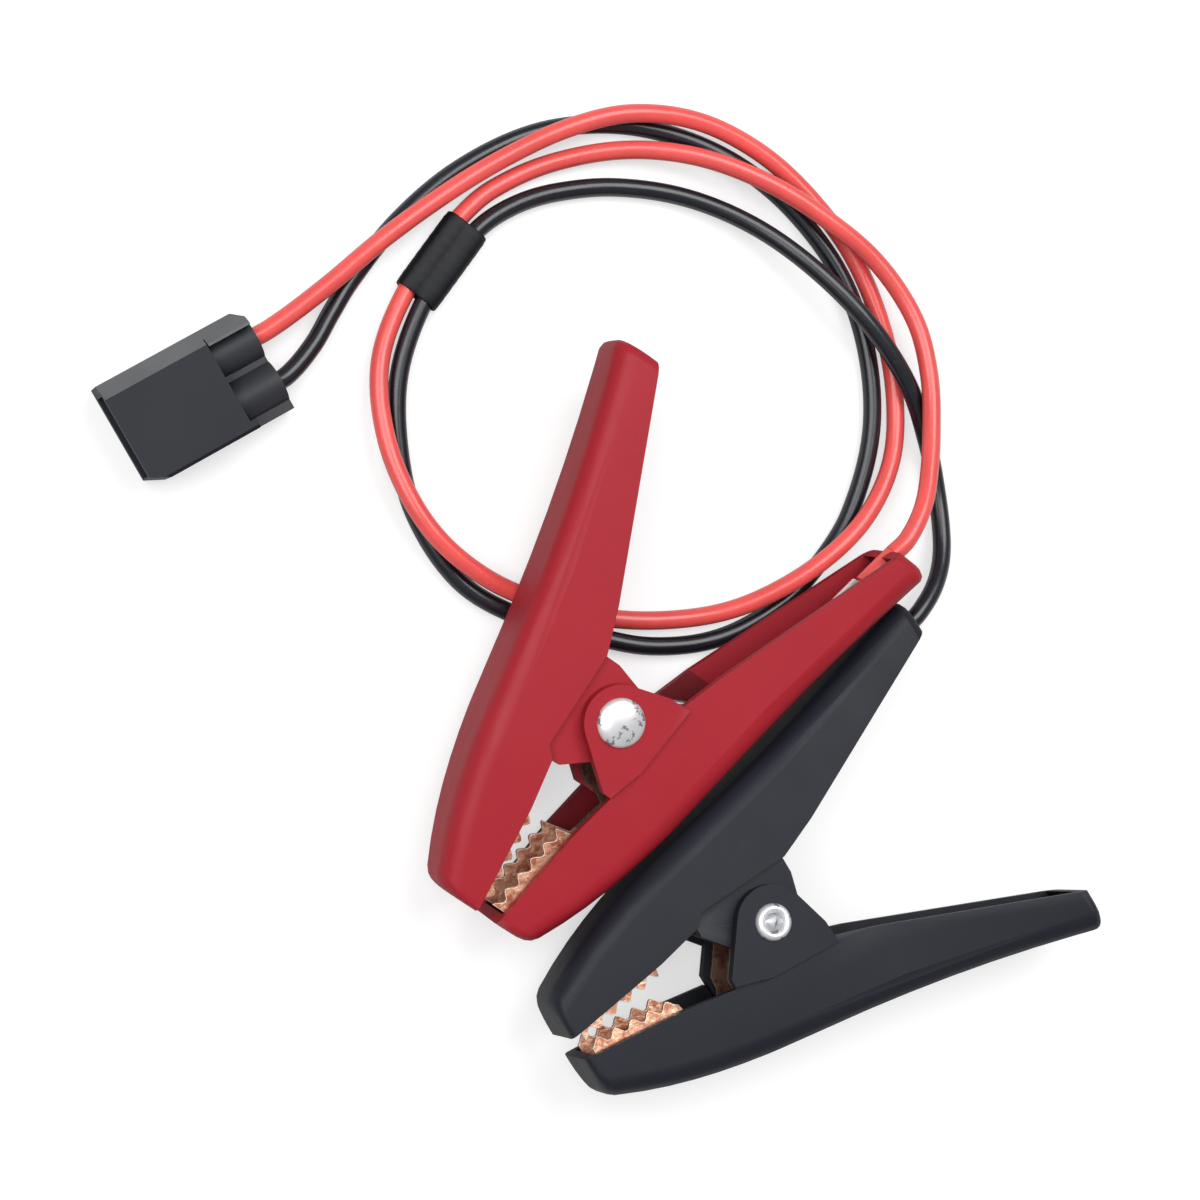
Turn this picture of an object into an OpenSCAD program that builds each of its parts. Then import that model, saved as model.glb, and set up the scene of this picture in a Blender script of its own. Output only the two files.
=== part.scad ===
// Battery clip lead: two insulated spring clamps, two leads, a sleeve and a two-pole plug.
// Millimetres, +Z up. The lead lies on a flat surface at Z = 0 as it is laid down.
// Each clamp is drawn in its own frame: origin on the pivot axis, +X towards the handles,
// +Y towards the free half, +Z towards the domed end of the rivet.

/* [Clamp shells] */
// Pivot to jaw tip
jaw_reach = 43; // [38:0.5:52]
// Pivot to the end of the handle that moves
free_handle_reach = 59; // [54:0.5:72]
// Pivot to the end of the handle that holds the lead
lead_handle_reach = 57; // [50:0.5:66]
// Half the gap between the two shells at the jaw tip
tip_half_gap = 2.2; // [1.6:0.1:3.5]
// Height of the shell's back above the clamp axis at the pivot
back_height = 23.6; // [22:0.2:28]
// Rise of the back for each millimetre towards the handle
back_slope = 0.18; // [0.14:0.01:0.26]
// Rise of the handle's open edge for each millimetre
handle_slope = 0.445; // [0.42:0.005:0.49]
// Drop of the back at the jaw tip, below its straight line
jaw_drop = 5.4; // [3:0.2:7]
// Rise of the back at the end of the handle that moves, above its straight line
free_flare = 5; // [2:0.2:6]
// Rise of the back at the end of the handle that holds the lead
lead_flare = 3.6; // [1:0.2:6]
// Half width of a shell at the pivot
pivot_half_width = 10.2; // [10:0.1:11]
// Half width of a shell at the jaw tip
tip_half_width = 8.2; // [8.1:0.1:9.5]
// Half width of a shell at the handle end
handle_half_width = 8.8; // [8:0.1:10]
// Wall of the shells
shell_wall = 2; // [1.6:0.1:2.4]
// Radius along the back edges
back_radius = 4.5; // [3.5:0.1:5.5]

/* [Pivot] */
// Radius of the shield-shaped ears
ear_radius = 7; // [6.4:0.1:7.6]
// Thickness of the inner ears
inner_ear = 2.4; // [2:0.1:2.4]
// Thickness of the raised outer ears
outer_ear = 2.4; // [1.8:0.1:3]
// Gap between an inner and an outer ear
ear_gap = 0.3; // [0.2:0.05:0.5]
// Diameter of the rivet's shank
rivet_d = 5; // [4:0.1:6]
// Radial clearance of the pieces that turn on the rivet
pivot_clearance = 0.05; // [0.03:0.01:0.1]
// Diameter of the domed rivet head
dome_d = 9.2; // [8:0.1:11]
// Height of the domed rivet head
dome_h = 1.7; // [1.2:0.1:2.2]
// Outer diameter of the rolled rivet end
roll_d = 7; // [6.6:0.1:8]
// Bore of the rivet's rolled end
rivet_bore = 3.4; // [2:0.1:3.6]
// Depth of that bore
bore_depth = 3; // [2:0.5:8]

/* [Contacts] */
// Sheet thickness of the contacts
sheet = 1; // [0.8:0.1:1.1]
// Outer half width of a contact
contact_half_width = 5.5; // [5.2:0.05:5.6]
// Side shift of each contact, so that their teeth pass each other
contact_shift = 0.6; // [0.58:0.01:0.64]
// Pitch of the teeth
tooth_pitch = 3.6; // [3:0.1:4]
// Height of the teeth
tooth_height = 1.5; // [0.8:0.1:1.8]
// Number of teeth on an edge
teeth = 5; // [3:1:5]
// Stand of the teeth's middle line past the shell's edge
tooth_stand = 1.7; // [1:0.1:1.8]
// Radius of the contact's ears
contact_ear_radius = 6.2; // [5.6:0.1:6.3]

/* [Spring] */
// Wire of the torsion spring
spring_wire = 1.6; // [1.2:0.1:1.6]
// Mean radius of the spring's coil
spring_radius = 4.3; // [4.2:0.1:5]
// Rise of the coil for each turn
spring_pitch = 2.1; // [2.05:0.05:2.3]
// Full turns before the part turn that points the second leg
spring_turns = 2; // [1:1:2]
// Direction of the legs, away from the clamp axis
spring_leg_angle = 66; // [60:1:70]
// Outer diameter of the bush inside the spring
bush_d = 6.2; // [5.8:0.1:6.4]

/* [Leads] */
// Outer diameter of a lead
lead_d = 3.6; // [3:0.1:3.8]
// Diameter of the bare conductor
conductor_d = 2.2; // [1.6:0.1:2.6]
// Outer diameter of the crimped ferrule
ferrule_d = 4.4; // [3.6:0.1:5]
// Length of the crimped ferrule
ferrule_length = 6; // [4:0.5:8]
// Length of the sleeve that holds the two leads together
sleeve_length = 17; // [12:0.5:20]
// Wall of the sleeve outside the leads
sleeve_wall = 0.8; // [0.5:0.1:1.2]

/* [Plug] */
// Length of the plug's body
plug_body_length = 22; // [18:0.5:26]
// Length of the plug with its barrels
plug_length = 30; // [28:0.5:34]
// Width of the plug
plug_width = 20.6; // [19:0.2:24]
// Height of the plug
plug_height = 11.8; // [11:0.2:14]
// Bevel along one long edge, the key of the plug
plug_key = 3; // [1.5:0.1:3.5]
// Diameter of the barrels round the leads
barrel_d = 8.2; // [7.4:0.1:8.4]
// Distance of a barrel from the plug's middle
barrel_offset = 4.5; // [4.4:0.1:5]
// Depth of the plug's mouth
mouth_depth = 11; // [8:0.5:14]
// Width of the plug's mouth
mouth_width = 16.4; // [14:0.2:16.8]
// Height of the plug's mouth
mouth_height = 8; // [6:0.2:8.4]

/* [Hidden] */
$fn = 48;

red_plastic = [0.72, 0.22, 0.25];
black_plastic = [0.22, 0.23, 0.26];
red_rubber = [0.96, 0.38, 0.36];
black_rubber = [0.13, 0.13, 0.14];
copper = [0.85, 0.58, 0.47];
bright_metal = [0.82, 0.82, 0.84];
spring_steel = [0.6, 0.6, 0.62];

// How the clamps lie: place of the pivot, turn, handles down, free half up
red_place = [-33.1, -0.9, 14.1];
red_turn = 56.4;
red_pitch = -2.8;
red_roll = 2.4;
black_place = [
    -3.5 + 1.45 * (back_height - 23.6), -40.1 - 1.45 * (back_height - 23.6), 14.2
];
black_turn = 30.6;
black_pitch = 2.6;
black_roll = 175;

// Stations of the clamp along its axis
arch_x = -22;
ear_front = -12.5;
ear_back = 8.8;
recess_y = 8.8;
handle_root_y = 8.2;
end_wall = 2;
tip_wall = 2;
edge_fillet = 2.2;
clearance = 0.1;

// Stack of the pivot, measured from the middle of the clamp
flange_inner = contact_half_width - contact_shift - sheet;
inner_ear_outer = pivot_half_width - 1.5;
outer_ear_inner = inner_ear_outer + ear_gap;
outer_ear_outer = outer_ear_inner + outer_ear;

// ---- Outline of one half, with its back towards +Y --------------------------------

// A half is its handle's reach and the flare of its back
lead_half = [lead_handle_reach, lead_flare];
free_half = [free_handle_reach, free_flare];

function back_line(x, half) =
    back_height + back_slope * x
    + (x < 0 ? -jaw_drop * pow(-x / jaw_reach, 3) : half[1] * pow(x / half[0], 2));

// Quarter round: how far an edge is drawn in at distance d from the end
function drawn_in(d, r) = d >= r ? 0 : r - sqrt(max(0, r * r - (r - d) * (r - d)));

function back_y(x, half) =
    back_line(x, half) - drawn_in(half[0] - x, edge_fillet) - drawn_in(x + jaw_reach, 2);

function edge_y(x) =
    x <= arch_x ? tip_half_gap + (x + jaw_reach) / (jaw_reach + arch_x) * (4.8 - tip_half_gap)
    : x <= ear_front ? 4.8 + (x - arch_x) / (ear_front - arch_x) * 1.9
    : x <= ear_front + 2 ? 6.7 + (x - ear_front) / 2 * (recess_y - 6.7)
    : x <= ear_back ? recess_y
    : handle_root_y + (x - ear_back) * handle_slope;

function half_width(x, reach) =
    (x < ear_front
        ? pivot_half_width - (pivot_half_width - tip_half_width)
            * (ear_front - x) / (jaw_reach + ear_front)
        : x < 14 ? pivot_half_width
        : pivot_half_width - (pivot_half_width - handle_half_width) * (x - 14) / (reach - 14))
    - drawn_in(reach - x, 2.5) - drawn_in(x + jaw_reach, 1.5);

// Stations; the last value of each says whether the section is hollow
function stations(reach) = [
    [-jaw_reach, 0], [-jaw_reach + 0.3, 0], [-jaw_reach + 0.9, 0], [-jaw_reach + tip_wall, 0],
    [-jaw_reach + tip_wall + 0.3, 1],
    for (t = [0.25, 0.5, 0.75]) [-jaw_reach + tip_wall + t * (arch_x + jaw_reach - tip_wall), 1],
    [arch_x, 1], [(arch_x + ear_front) / 2, 1], [ear_front, 1], [ear_front + 2, 1], [-4, 1],
    [3, 1], [ear_back, 1],
    for (t = [1 : 5]) [ear_back + t * (reach - 6 - ear_back) / 5, 1],
    [reach - 3.6, 1], [reach - end_wall - 0.3, 1], [reach - end_wall, 0],
    [reach - 1, 0], [reach - 0.3, 0], [reach, 0]
];

// Points across the shell: 12 on the outside, then 12 on the inside, both from -Z to +Z
function section(x, half, hollow) =
    let (w = half_width(x, half[0]), top = back_y(x, half), low = edge_y(x),
         r = min(back_radius, w - 1, top - low - 0.5), ri = max(0.4, r - shell_wall),
         cy = top - r, cz = w - r)
    [
        [x, low, -w],
        for (a = [0 : 22.5 : 90]) [x, cy + r * sin(a), -cz - r * cos(a)],
        for (a = [90 : -22.5 : 0]) [x, cy + r * sin(a), cz + r * cos(a)],
        [x, low, w],
        [x, low, -w + shell_wall],
        for (a = [0 : 22.5 : 90])
            [x, hollow ? cy + ri * sin(a) : low, -cz - ri * cos(a)],
        for (a = [90 : -22.5 : 0])
            [x, hollow ? cy + ri * sin(a) : low, cz + ri * cos(a)],
        [x, low, w - shell_wall]
    ];

module shell_loft(half) {
    list = stations(half[0]);
    count = len(list);
    n = 12;
    ring = [for (i = [0 : n - 1]) i, for (i = [n - 1 : -1 : 0]) n + i];
    points = [for (s = list) each section(s[0], half, s[1] == 1)];
    sides = [
        for (k = [0 : count - 2], i = [0 : 2 * n - 1])
            let (a = k * 2 * n + ring[i], b = k * 2 * n + ring[(i + 1) % (2 * n)],
                 c = a + 2 * n, d = b + 2 * n)
            each [[a, c, b], [b, c, d]]
    ];
    last = (count - 1) * 2 * n;
    caps = [
        for (i = [0 : n - 2])
            each [[i, i + 1, n + i], [i + 1, n + i + 1, n + i],
                  [last + i, last + n + i, last + i + 1],
                  [last + i + 1, last + n + i, last + n + i + 1]]
    ];
    polyhedron(points = points, faces = concat(sides, caps));
}

// ---- Ears -------------------------------------------------------------------------

// Point where a line from p touches a circle of radius r round the origin
function touch(p, r, side) =
    let (a = atan2(p[1], p[0]) + side * acos(r / norm(p))) [r * cos(a), r * sin(a)];

ear_front_corner = [ear_front, 4.6];
ear_back_corner = [ear_back, 5.4];

module ear_plan(top_line) {
    circle(ear_radius);
    polygon(concat(
        [ear_front_corner, touch(ear_front_corner, ear_radius, 1),
         touch(ear_back_corner, ear_radius, -1), ear_back_corner],
        top_line));
}

root_line = [[ear_back, recess_y + 4.4], [ear_front, recess_y + 4.4]];
step_line = [[ear_back + 0.2, 10], [-5.5, 8.6], [ear_front, 6.2]];

// outer_side is 1 where the raised ear stands on +Z, and -1 where it stands on -Z
module ears(outer_side) {
    mirror([0, 0, outer_side > 0 ? 0 : 1]) {
        translate([0, 0, outer_ear_inner])
            linear_extrude(outer_ear) ear_plan(step_line);
        translate([0, 0, outer_ear_inner])
            linear_extrude(pivot_half_width - 0.05 - outer_ear_inner) ear_plan(root_line);
        translate([0, 0, -inner_ear_outer])
            linear_extrude(inner_ear) ear_plan(root_line);
    }
}

// ---- Contact outline, with its base towards +Y ------------------------------------

contact_tip = -jaw_reach + tip_wall + 0.6;
contact_back = 8;
base_tip_y = tip_half_gap + 5;
base_back_y = 15.4;

function base_y(x) =
    base_tip_y + (x - contact_tip) / (contact_back - contact_tip) * (base_back_y - base_tip_y);

tooth_end = contact_tip + teeth * tooth_pitch;

function tooth_line(x) = edge_y(x) - tooth_stand;

// shift_phase moves the teeth by half a pitch, so that the two rows stand in each other's gaps
function tooth_edge(phase) = [
    for (i = [0 : teeth * 8])
        let (x = contact_tip + i * tooth_pitch / 8)
        [x, tooth_line(x) - tooth_height / 2 * cos(45 * i + phase)]
];

// Edge of the contact from its teeth to its ear, set back behind the shell
arch_inset = 3.4;
contact_arch_line = [
    [tooth_end + 1.2, edge_y(tooth_end) + arch_inset],
    [ear_front - 1, edge_y(ear_front) + arch_inset], [ear_front + 0.5, edge_y(ear_front) + 0.8]
];

// Ear of the contact as points on its circle, from the front corner round to the back corner
contact_front_corner = [ear_front + 0.7, 5.2];
contact_back_corner = [contact_back, 6];

function turn_of(p) = (atan2(p[1], p[0]) + 360) % 360;

contact_ear_line =
    let (a = turn_of(touch(contact_front_corner, contact_ear_radius, 1)),
         b = turn_of(touch(contact_back_corner, contact_ear_radius, -1)))
    [for (i = [0 : 10])
        let (t = a + (b - a) * i / 10) contact_ear_radius * [cos(t), sin(t)]];

module flange_plan(phase) {
    difference() {
        polygon(concat(
            [[contact_tip, base_y(contact_tip)]],
            tooth_edge(phase),
            contact_arch_line,
            [contact_front_corner],
            contact_ear_line,
            [contact_back_corner, [contact_back, base_y(contact_back)]]));
        circle(d = rivet_d + 2 * pivot_clearance);
    }
}

// The contact's middle is shifted by shift along Z
module contact(shift, phase) {
    translate([0, 0, shift]) {
        for (z = [-contact_half_width, contact_half_width - sheet])
            translate([0, 0, z]) linear_extrude(sheet) flange_plan(phase);
        difference() {
            translate([0, 0, -contact_half_width])
                linear_extrude(2 * contact_half_width)
                polygon([
                    [contact_tip, base_y(contact_tip) - sheet], [contact_tip, base_y(contact_tip)],
                    [contact_back, base_y(contact_back)],
                    [contact_back, base_y(contact_back) - sheet]]);
            translate([0, 0, -shift]) contact_rivet_holes();
        }
    }
}

// ---- Rivets that hold a contact in its shell --------------------------------------

contact_rivet_x = [contact_tip + 7.9, contact_tip + 22.9];
contact_rivet_d = 2.4;
contact_rivet_head = 4.2;
base_angle = atan2(base_back_y - base_tip_y, contact_back - contact_tip);

module at_contact_rivet(x) {
    translate([x, base_y(x), 0]) rotate([0, 0, base_angle]) rotate([-90, 0, 0]) children();
}

module contact_rivet_holes() {
    for (x = contact_rivet_x)
        at_contact_rivet(x)
            translate([0, 0, -3]) cylinder(d = contact_rivet_d + 0.1, h = 9, $fn = 24);
}

module contact_rivets() {
    for (x = contact_rivet_x)
        at_contact_rivet(x) {
            translate([0, 0, -sheet]) cylinder(d = contact_rivet_d, h = sheet + 2.4, $fn = 24);
            translate([0, 0, -sheet - 0.9]) cylinder(d = contact_rivet_head, h = 0.9, $fn = 24);
        }
}

// Posts inside the shell that the contact's base is riveted to
module contact_posts(half) {
    for (x = contact_rivet_x)
        difference() {
            at_contact_rivet(x)
                translate([0, 0, 0.02])
                cylinder(d = 6, h = back_line(x, half) - base_y(x) - shell_wall + 0.7, $fn = 24);
            contact_rivet_holes();
        }
}

// ---- Pieces of one clamp ----------------------------------------------------------

exit_angle = -13;
exit_inset = 1.4;
exit_x = lead_handle_reach + 0.3;
exit_y = -(edge_y(lead_handle_reach) + exit_inset);

module along_exit(back) {
    translate([exit_x, exit_y, 0]) rotate([0, 0, exit_angle])
        translate([-back, 0, 0]) rotate([0, 90, 0]) children();
}

module half_shell(half, outer_side) {
    difference() {
        union() {
            shell_loft(half);
            ears(outer_side);
            contact_posts(half);
        }
        translate([0, 0, -20]) cylinder(d = rivet_d + 2 * pivot_clearance, h = 40);
    }
}

module lead_shell() {
    difference() {
        mirror([0, 1, 0]) half_shell(lead_half, 1);
        // Notch in the end wall, open to the rim
        along_exit(6) {
            cylinder(d = lead_d + 0.3, h = 12, $fn = 32);
            translate([-lead_d / 2 - 0.15, 0, 0]) cube([lead_d + 0.3, exit_inset + 2, 12]);
        }
    }
}

module free_shell() {
    half_shell(free_half, -1);
}

module lead_contact() {
    mirror([0, 1, 0]) contact(contact_shift, 0);
}

module free_contact() {
    contact(-contact_shift, 180);
}

module pivot_rivet() {
    difference() {
        union() {
            translate([0, 0, -outer_ear_outer - 1.2])
                cylinder(d = rivet_d, h = 2 * outer_ear_outer + 1.3);
            translate([0, 0, outer_ear_outer]) dome();
            translate([0, 0, -outer_ear_outer - clearance / 2]) mirror([0, 0, 1]) rolled_end();
        }
        translate([0, 0, -outer_ear_outer - 2]) cylinder(d = rivet_bore, h = bore_depth + 2);
        translate([0, 0, -outer_ear_outer + bore_depth - 0.01])
            cylinder(d1 = rivet_bore, d2 = 0.4, h = 1.2);
    }
}

module dome() {
    rotate_extrude()
        polygon(concat([[0, 0], [dome_d / 2, 0]],
            [for (a = [0 : 15 : 90]) [dome_d / 2 * cos(a) , 0.3 + (dome_h - 0.3) * sin(a)]]));
}

module rolled_end() {
    middle = (roll_d + rivet_bore) / 4;
    half = (roll_d - rivet_bore) / 4;
    rotate_extrude()
        polygon([for (a = [0 : 20 : 180]) [middle + half * cos(a), 1.25 * sin(a)]]);
}

module spacer_bush() {
    difference() {
        translate([0, 0, -flange_inner + clearance])
            cylinder(d = bush_d, h = 2 * (flange_inner - clearance));
        translate([0, 0, -flange_inner - 1])
            cylinder(d = rivet_d + 2 * pivot_clearance, h = 2 * flange_inner + 2);
    }
}

// ---- Torsion spring: a helix whose two ends run on as straight legs ----------------

coil_start = 90 - spring_leg_angle;
coil_end = spring_leg_angle - 90 + 360 * (spring_turns + 1);
coil_rise = spring_pitch * (coil_end - coil_start) / 360;

function coil_point(a) = [
    spring_radius * cos(a), spring_radius * sin(a),
    -coil_rise / 2 + spring_pitch * (a - coil_start) / 360
];

// Length of a leg, so that its end lies just inside the back of the shell
leg_length =
    let (s = sin(spring_leg_angle), c = cos(spring_leg_angle),
         start = coil_point(coil_end),
         room = back_height - shell_wall - spring_wire / 2 - 0.8 - start[1]
             + back_slope * start[0])
    (room + 1.2) / (s - back_slope * c);

coil_steps = round((coil_end - coil_start) / 45);

spring_path = [
    for (t = [1, 0.55, 0.12])
        coil_point(coil_start) + leg_length * t * [cos(spring_leg_angle), -sin(spring_leg_angle), 0],
    for (i = [0 : coil_steps])
        coil_point(coil_start + (coil_end - coil_start) * i / coil_steps),
    for (t = [0.12, 0.55, 1])
        coil_point(coil_end) + leg_length * t * [cos(spring_leg_angle), sin(spring_leg_angle), 0]
];

module torsion_spring() {
    tube(spring_path, spring_wire, 6);
}

// Least gap of the coil to its next turn, measured between points of the two turns
spring_gap = min([
    for (a = [coil_start : 15 : coil_end - 300], b = [a + 300 : 15 : min(a + 420, coil_end)])
        norm(coil_point(a) - coil_point(b)) - spring_wire
]);
echo(spring_gap = spring_gap);

module ferrule() {
    difference() {
        along_exit(ferrule_length + 9) cylinder(d = ferrule_d, h = ferrule_length, $fn = 32);
        along_exit(ferrule_length + 10)
            cylinder(d = conductor_d + 0.04, h = ferrule_length + 2, $fn = 32);
    }
}

// The stripped conductor in the ferrule and the lead inside the handle
module lead_tail() {
    along_exit(ferrule_length + 9.8) cylinder(d = conductor_d, h = ferrule_length + 2, $fn = 32);
    along_exit(8.4) cylinder(d = lead_d, h = 8.4, $fn = 32);
}

// ---- Where the pieces lie ----------------------------------------------------------

// Middle of the two clamps as they lie, which becomes the origin
middle = [0.5, -1.1];

module centred() { translate([-middle[0], -middle[1], 0]) children(); }

module lay_red() {
    centred() translate(red_place) rotate([0, 0, red_turn]) rotate([0, red_pitch, 0])
        rotate([red_roll, 0, 0]) children();
}

module lay_black() {
    centred() translate(black_place) rotate([0, 0, black_turn]) rotate([0, black_pitch, 0])
        rotate([black_roll, 0, 0]) children();
}

module red_lead_shell() { color(red_plastic) lay_red() lead_shell(); }
module red_free_shell() { color(red_plastic) lay_red() free_shell(); }
module red_lead_contact() { color(copper) lay_red() lead_contact(); }
module red_free_contact() { color(copper) lay_red() free_contact(); }
module red_pivot_rivet() { color(bright_metal) lay_red() pivot_rivet(); }
module red_spacer_bush() { color(bright_metal) lay_red() spacer_bush(); }
module red_torsion_spring() { color(spring_steel) lay_red() torsion_spring(); }
module red_lead_contact_rivets() {
    color(copper) lay_red() mirror([0, 1, 0]) contact_rivets();
}
module red_free_contact_rivets() { color(copper) lay_red() contact_rivets(); }
module red_ferrule() { color(bright_metal) lay_red() ferrule(); }
module red_lead_tail() { color(red_rubber) lay_red() lead_tail(); }

module black_lead_shell() { color(black_plastic) lay_black() lead_shell(); }
module black_free_shell() { color(black_plastic) lay_black() free_shell(); }
module black_lead_contact() { color(copper) lay_black() lead_contact(); }
module black_free_contact() { color(copper) lay_black() free_contact(); }
module black_pivot_rivet() { color(bright_metal) lay_black() pivot_rivet(); }
module black_spacer_bush() { color(bright_metal) lay_black() spacer_bush(); }
module black_torsion_spring() { color(spring_steel) lay_black() torsion_spring(); }
module black_lead_contact_rivets() {
    color(copper) lay_black() mirror([0, 1, 0]) contact_rivets();
}
module black_free_contact_rivets() { color(copper) lay_black() contact_rivets(); }
module black_ferrule() { color(bright_metal) lay_black() ferrule(); }
module black_lead_tail() { color(black_rubber) lay_black() lead_tail(); }

// ---- Leads --------------------------------------------------------------------------

// Ring of a tube round point p, square to direction d
function ring_at(p, d, r, sides) =
    let (side = cross(d, abs(d[2]) > 0.9 * norm(d) ? [1, 0, 0] : [0, 0, 1]),
         u = side / norm(side), v = cross(u, d) / norm(d))
    [for (i = [0 : sides - 1]) p + r * (u * cos(360 * i / sides) + v * sin(360 * i / sides))];

function direction(path, i) =
    let (last = len(path) - 1)
    i == 0 ? path[1] - path[0]
    : i == last ? path[last] - path[last - 1]
    : (path[i + 1] - path[i]) / norm(path[i + 1] - path[i])
        + (path[i] - path[i - 1]) / norm(path[i] - path[i - 1]);

module tube(path, d, sides) {
    count = len(path);
    points = [for (i = [0 : count - 1]) each ring_at(path[i], direction(path, i), d / 2, sides)];
    walls = [
        for (k = [0 : count - 2], i = [0 : sides - 1])
            let (a = k * sides + i, b = k * sides + (i + 1) % sides)
            each [[a, b, a + sides], [b, b + sides, a + sides]]
    ];
    last = (count - 1) * sides;
    ends = [
        for (i = [1 : sides - 2]) each [[0, i + 1, i], [last, last + i, last + i + 1]]
    ];
    polyhedron(points = points, faces = concat(walls, ends));
}

function roll_about_x(a, p) =
    [p[0], p[1] * cos(a) - p[2] * sin(a), p[1] * sin(a) + p[2] * cos(a)];
function pitch_about_y(a, p) =
    [p[0] * cos(a) + p[2] * sin(a), p[1], -p[0] * sin(a) + p[2] * cos(a)];
function turn_about_z(a, p) =
    [p[0] * cos(a) - p[1] * sin(a), p[0] * sin(a) + p[1] * cos(a), p[2]];

function red_point(p) =
    red_place + turn_about_z(red_turn, pitch_about_y(red_pitch, roll_about_x(red_roll, p)));
function black_point(p) =
    black_place + turn_about_z(black_turn, pitch_about_y(black_pitch, roll_about_x(black_roll, p)));

// Points on the line of the lead where it leaves a handle
function exit_point(d) = [exit_x + d * cos(exit_angle), exit_y + d * sin(exit_angle), 0];

// The plug lies flat; its front faces the lower left
plug_front = [-121, 50];
plug_turn = 30;
barrel_z = 5.2;

function plug_point(x, y, z) = concat(plug_front, 0) + turn_about_z(plug_turn, [x, y, z]);

// Shrunk round the two leads where they run side by side
sleeve_middle = [-61.5, 84.5, 2.7];
sleeve_turn = 54;
sleeve_half_gap = lead_d / 2 + 0.2;

function sleeve_point(along, side) =
    sleeve_middle + turn_about_z(sleeve_turn, [along, side * sleeve_half_gap, 0]);

// The red lead, from the plug to its clamp
red_route = concat(
    [plug_point(plug_length - 3, barrel_offset, barrel_z)],
    [plug_point(plug_length + 4, barrel_offset, barrel_z)],
    [
        [-84, 78.5, 5.4], [-73, 88, 5.8], [-61, 97, 5.5], [-50, 104, 5.5], [-38, 110, 6],
        [-25.5, 113.5, 5.9], [-11.5, 113, 4.5], [1.5, 108, 3], [12, 100, 2.2],
        [21.5, 88.5, 2], [28, 74, 1.8], [30.5, 61, 1.8], [29, 48, 3.5], [22.5, 36.5, 5.5],
        [12.5, 27.5, 6], [0, 20.5, 4.6], [-11, 17.5, 3], [-25.5, 17, 2], [-39, 19.5, 2.8],
        [-52.5, 24.5, 4.7], [-63.5, 33, 6.2], [-70.5, 44.5, 6], [-73.5, 56.5, 4.8],
        [-73, 67, 3.5]
    ],
    [sleeve_point(-9, 1), sleeve_point(0, 1), sleeve_point(9, 1)],
    [
        [-51.5, 98.5, 2.4], [-40, 104, 2.1], [-25.5, 107, 3.2], [-11.5, 106, 5.2],
        [2, 101.5, 6.6], [14, 95, 6.6], [25, 87, 5.8], [33, 76, 5.9], [35.5, 65, 7.3],
        [35, 53.5, 9.6], [33, 43.5, 12.6], [30.8, 37.8, 14.5]
    ],
    [red_point(exit_point(4)), red_point(exit_point(0))]);

// The black lead, from the plug to its clamp
black_route = concat(
    [plug_point(plug_length - 3, -barrel_offset, barrel_z)],
    [plug_point(plug_length + 2, -barrel_offset, barrel_z)],
    [
        [-86, 68, 3.8], [-82.5, 74, 2.6], [-78.5, 80.5, 1.8], [-69.5, 92, 1.8],
        [-58, 102, 2], [-43.5, 109.5, 2], [-29, 112, 1.8], [-15.5, 110.5, 1.8],
        [-2.5, 105.5, 1.8], [9, 97, 2], [19, 84.5, 2], [24.5, 70, 1.8], [25.5, 54, 1.8],
        [21, 38, 1.8], [14.5, 28, 1.8], [6.5, 20, 1.8], [-6, 13.5, 1.8], [-20, 11.3, 1.8],
        [-33.5, 13.8, 1.8], [-47, 18, 1.8], [-58, 24.5, 1.8], [-66.5, 37, 2],
        [-69.5, 49.5, 2.1], [-69.5, 63, 2.4]
    ],
    [sleeve_point(-9, -1), sleeve_point(0, -1), sleeve_point(9, -1)],
    [
        [-47.5, 95.5, 2.2], [-39, 98.5, 1.8], [-27, 100, 1.8], [-13, 98.5, 2.3],
        [0, 93.5, 3.9], [11.5, 85.5, 6.2], [22.5, 75, 7.4], [31.5, 63.5, 5.8],
        [37, 52, 2.8], [39.5, 42, 1.8], [40, 33.5, 3], [39, 28, 4.8], [36.5, 23, 7]
    ],
    [black_point(exit_point(4)), black_point(exit_point(0))]);

function route_length(path) =
    let (steps = [for (i = [1 : len(path) - 1]) norm(path[i] - path[i - 1])])
    steps * [for (s = steps) 1];
echo(red_lead_length = route_length(red_route), black_lead_length = route_length(black_route));

module red_lead() { color(red_rubber) centred() tube(red_route, lead_d, 8); }
module black_lead() { color(black_rubber) centred() tube(black_route, lead_d, 8); }

module cable_sleeve() {
    color(black_rubber)
        centred() translate(sleeve_middle) rotate([0, 0, sleeve_turn]) rotate([90, 0, 90])
        difference() {
            translate([0, 0, -sleeve_length / 2]) linear_extrude(sleeve_length) {
                for (y = [-sleeve_half_gap, sleeve_half_gap])
                    translate([y, 0]) circle(d = lead_d + 2 * sleeve_wall);
                square([2 * sleeve_half_gap, lead_d + 2 * sleeve_wall - 0.6], center = true);
            }
            for (y = [-sleeve_half_gap, sleeve_half_gap])
                translate([y, 0, -sleeve_length / 2 - 1])
                    cylinder(d = lead_d + 0.05, h = sleeve_length + 2);
        }
}

// ---- Plug ----------------------------------------------------------------------------

barrel_front = plug_body_length - 1.2;
rail_inner = barrel_offset + 2.3;
rail_end = plug_length - 0.4;
ledge_height = barrel_z + 1.2;
front_bevel = 3.6;
blade_width = 6.4;
blade_thickness = 1;

module lay_plug() {
    centred() translate(concat(plug_front, 0)) rotate([0, 0, plug_turn]) children();
}

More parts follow.
